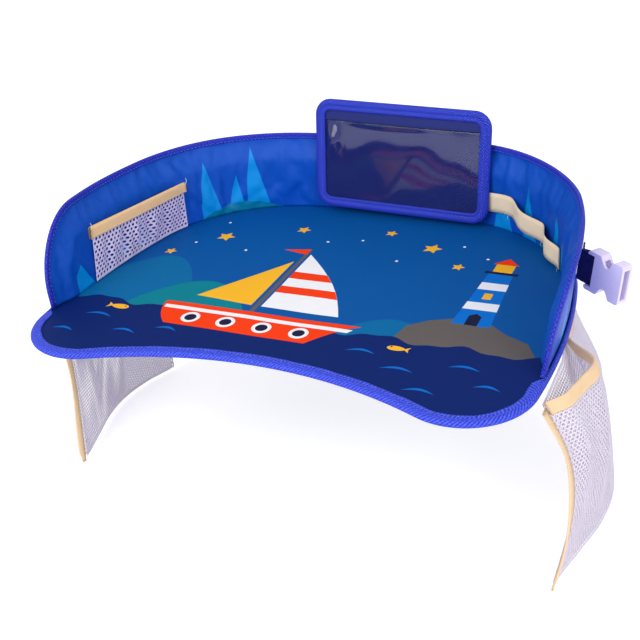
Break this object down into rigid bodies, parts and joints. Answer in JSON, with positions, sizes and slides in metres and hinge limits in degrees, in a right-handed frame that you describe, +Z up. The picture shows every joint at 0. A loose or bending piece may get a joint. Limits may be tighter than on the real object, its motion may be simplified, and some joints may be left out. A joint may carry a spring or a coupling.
{
  "type": "car seat tray table",
  "caption": "Padded lap tray with a soft wall round its back and sides, a clear phone pouch, net and elastic pockets and a side-release buckle strap.",
  "frame": {"origin": "on the tray's flat underside, in the middle from side to side, 130 mm behind the middle of the front edge", "axes": "+X to the tray's right as seen from its front, +Y away from the child, +Z up"},
  "size_m": [0.4934, 0.3253, 0.2722],
  "materials": {
    "printed_cloth": null,
    "blue_cloth": "satin woven polyester",
    "navy_cloth": "matt woven polyester",
    "blue_tape": "ribbed twill tape",
    "board": "plain stiffening sheet",
    "foam": "soft padding",
    "cream_elastic": "ribbed elastic",
    "pale_net": "open knitted net",
    "clear_sheet": "glossy clear film",
    "hook_tape": "hook and loop pile",
    "navy_webbing": "flat woven webbing",
    "pale_plastic": "moulded, semi-gloss"
  },
  "bodies": {
    "tray": {"tray_bottom_cover": "navy_cloth", "tray_board": "board", "tray_foam": "foam", "tray_top_cover": "printed_cloth", "tray_edge_binding": "blue_tape", "wall_outer_cover": "blue_cloth", "wall_board": "board", "wall_foam": "foam", "wall_inner_cover": "printed_cloth", "wall_top_binding": "blue_tape", "inner_pocket_net": "pale_net", "inner_pocket_elastic": "cream_elastic", "pencil_elastic": "cream_elastic", "wall_loop_strip_left": "hook_tape", "wall_loop_strip_right": "hook_tape", "buckle_webbing_right": "navy_webbing", "strap_webbing_left": "navy_webbing", "strap_keeper": "navy_webbing"},
    "phone_pouch": {"pouch_back_cover": "blue_cloth", "pouch_board": "board", "pouch_lining": "blue_cloth", "pouch_window": "clear_sheet", "pouch_binding": "blue_tape", "pouch_hook_strip_left": "hook_tape", "pouch_hook_strip_right": "hook_tape"},
    "right_pocket": {"side_pocket_net_right": "pale_net", "side_pocket_elastic_right": "cream_elastic", "side_pocket_seam_tape_right": "cream_elastic"},
    "left_pocket": {"side_pocket_net_left": "pale_net", "side_pocket_elastic_left": "cream_elastic", "side_pocket_seam_tape_left": "cream_elastic"},
    "buckle_socket": {"female_buckle": "pale_plastic"},
    "buckle_plug": {"male_buckle": "pale_plastic"},
    "upper_latch": {"latch_arm_upper": "pale_plastic"},
    "lower_latch": {"latch_arm_lower": "pale_plastic"}
  },
  "joints": [
    {"name": "pouch_pull_off", "type": "slide", "parent": "tray", "child": "phone_pouch", "axis": [-0.0233, -0.9997, 0], "range_m": [0, 0.06]},
    {"name": "right_pocket_swing", "type": "hinge", "parent": "tray", "child": "right_pocket", "pos_m": [0.20965, 0, -0.0003], "axis": [0, -1, 0], "range_deg": [0, 25]},
    {"name": "left_pocket_swing", "type": "hinge", "parent": "tray", "child": "left_pocket", "pos_m": [-0.20965, 0, -0.0003], "axis": [0, 1, 0], "range_deg": [0, 25]},
    {"name": "socket_swing", "type": "hinge", "parent": "tray", "child": "buckle_socket", "pos_m": [0.21698, 0.00317, 0.04385], "axis": [0.1083, 0.015, 0.994], "range_deg": [-40, 50]},
    {"name": "plug_swing", "type": "hinge", "parent": "tray", "child": "buckle_plug", "pos_m": [-0.21779, 0.07797, 0.03693], "axis": [-0.1216, 0.0089, 0.9925], "range_deg": [-8, 60]},
    {"name": "upper_latch_press", "type": "hinge", "parent": "buckle_plug", "child": "upper_latch", "pos_m": [-0.21791, 0.09011, 0.04507], "axis": [-0.9899, 0.0724, -0.1219], "range_deg": [0, 8], "stiffness_Nm_per_rad": 0.05},
    {"name": "lower_latch_press", "type": "hinge", "parent": "buckle_plug", "child": "lower_latch", "pos_m": [-0.21591, 0.08997, 0.02879], "axis": [0.9899, -0.0724, 0.1219], "range_deg": [0, 8], "stiffness_Nm_per_rad": 0.05}
  ]
}
